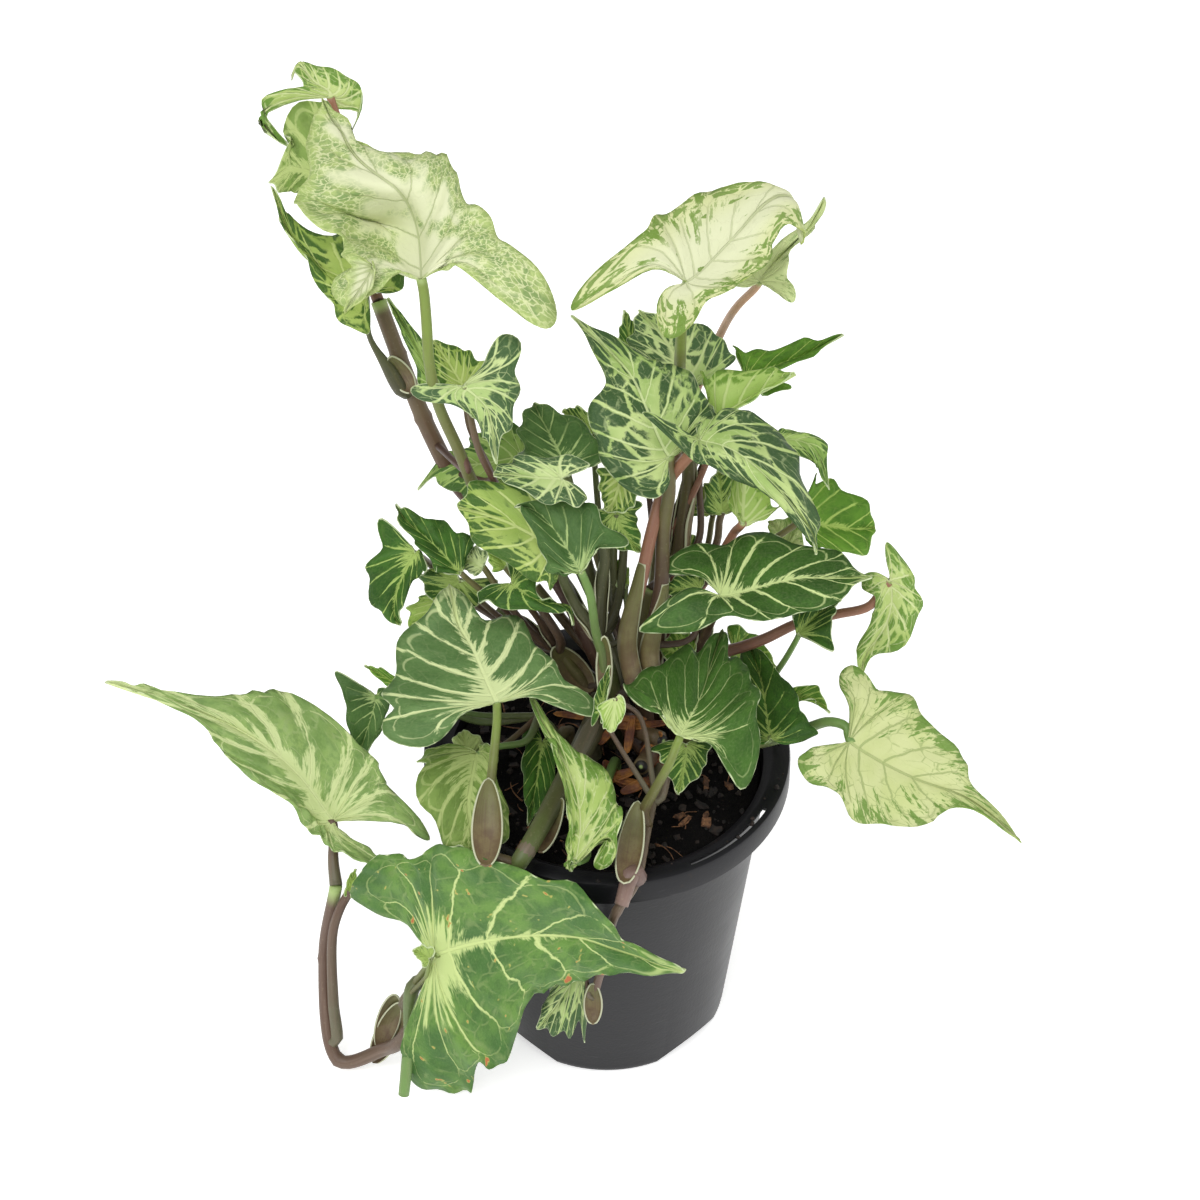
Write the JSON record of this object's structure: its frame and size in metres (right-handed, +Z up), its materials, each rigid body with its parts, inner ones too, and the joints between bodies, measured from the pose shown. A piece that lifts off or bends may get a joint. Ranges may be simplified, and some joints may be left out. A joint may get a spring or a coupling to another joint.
{
  "type": "potted arrowhead plant",
  "caption": "Bushy arrowhead plant with variegated arrow-shaped leaves on tall stalks and trailing shoots, standing in a round black nursery pot.",
  "frame": {"origin": "middle of the pot's underside, on the surface it stands on", "axes": "+Z up along the pot's axis, +Y away from the front of the plant, +X to its right"},
  "size_m": [0.3299, 0.2266, 0.3283],
  "materials": {
    "pot": "satin black moulded polypropylene",
    "soil": "dark damp peat and bark mix",
    "cream": "cream blade with green flecks along a fine vein net",
    "marbled": "grey-green patches between wide pale veins",
    "feathered": "dark green blade with a pale seat and feathered pale veins",
    "speckled": "pale green blade with darker patches, orange-brown specks",
    "mottled": "mid green blade with soft pale mottling",
    "lime": "yellow-green mottled blade",
    "sage": "smooth sage green blade",
    "young": "plain fresh green young blade",
    "bark": "grey-brown sheathed stem, green towards the leaves",
    "umber": "reddish brown sheathed stem",
    "olive": "olive green stem",
    "tan": "tan stem with dry sheaths",
    "green": "green stem with pale sheath"
  },
  "bodies": {
    "root": {"nursery_pot": "pot", "potting_soil": "soil", "shoot_tall_left": "bark", "shoot_tall_right": "bark", "shoot_centre": "umber", "shoot_left": "olive", "shoot_low_left": "umber", "shoot_right": "umber", "vine_right": "tan", "vine_front": "green", "vine_left": "bark", "shoot_front_left": "tan", "shoot_front": "green", "leaf_crest_pale": "cream", "leaf_crest_hood": "sage", "leaf_crest_curl": "sage", "leaf_crest_under": "mottled", "leaf_crest_strip": "mottled", "leaf_shoulder_left": "marbled", "leaf_shoulder_back": "mottled", "leaf_far_left": "speckled", "leaf_left_behind": "feathered", "leaf_left_spear": "young", "leaf_low_left": "speckled", "leaf_low_small": "young", "leaf_front_left": "feathered", "leaf_front_centre": "feathered", "leaf_front_right": "feathered", "leaf_right_inner": "mottled", "leaf_right_spread": "feathered", "leaf_right_droop": "speckled", "leaf_right_white": "cream", "leaf_top_pale": "cream", "leaf_centre_marbled": "marbled", "leaf_right_arch": "marbled", "leaf_arch_under": "young", "leaf_boat_right": "young", "leaf_boat_long": "mottled", "leaf_top_right": "sage", "leaf_top_marbled": "marbled", "leaf_upper_dark": "feathered", "leaf_upper_tail": "mottled", "leaf_fold_marbled": "marbled", "leaf_left_lime": "lime", "leaf_centre_dark": "feathered", "leaf_left_dark": "feathered", "leaf_left_bright": "young", "leaf_left_low": "feathered", "leaf_left_hook": "feathered", "leaf_left_yellow": "lime", "leaf_right_fold": "lime", "leaf_right_hook": "mottled", "leaf_right_small": "feathered", "leaf_right_crescent": "young", "leaf_pot_pale": "lime", "leaf_pot_dark": "feathered", "leaf_front_pale": "young", "leaf_front_under": "feathered"}
  },
  "joints": []
}
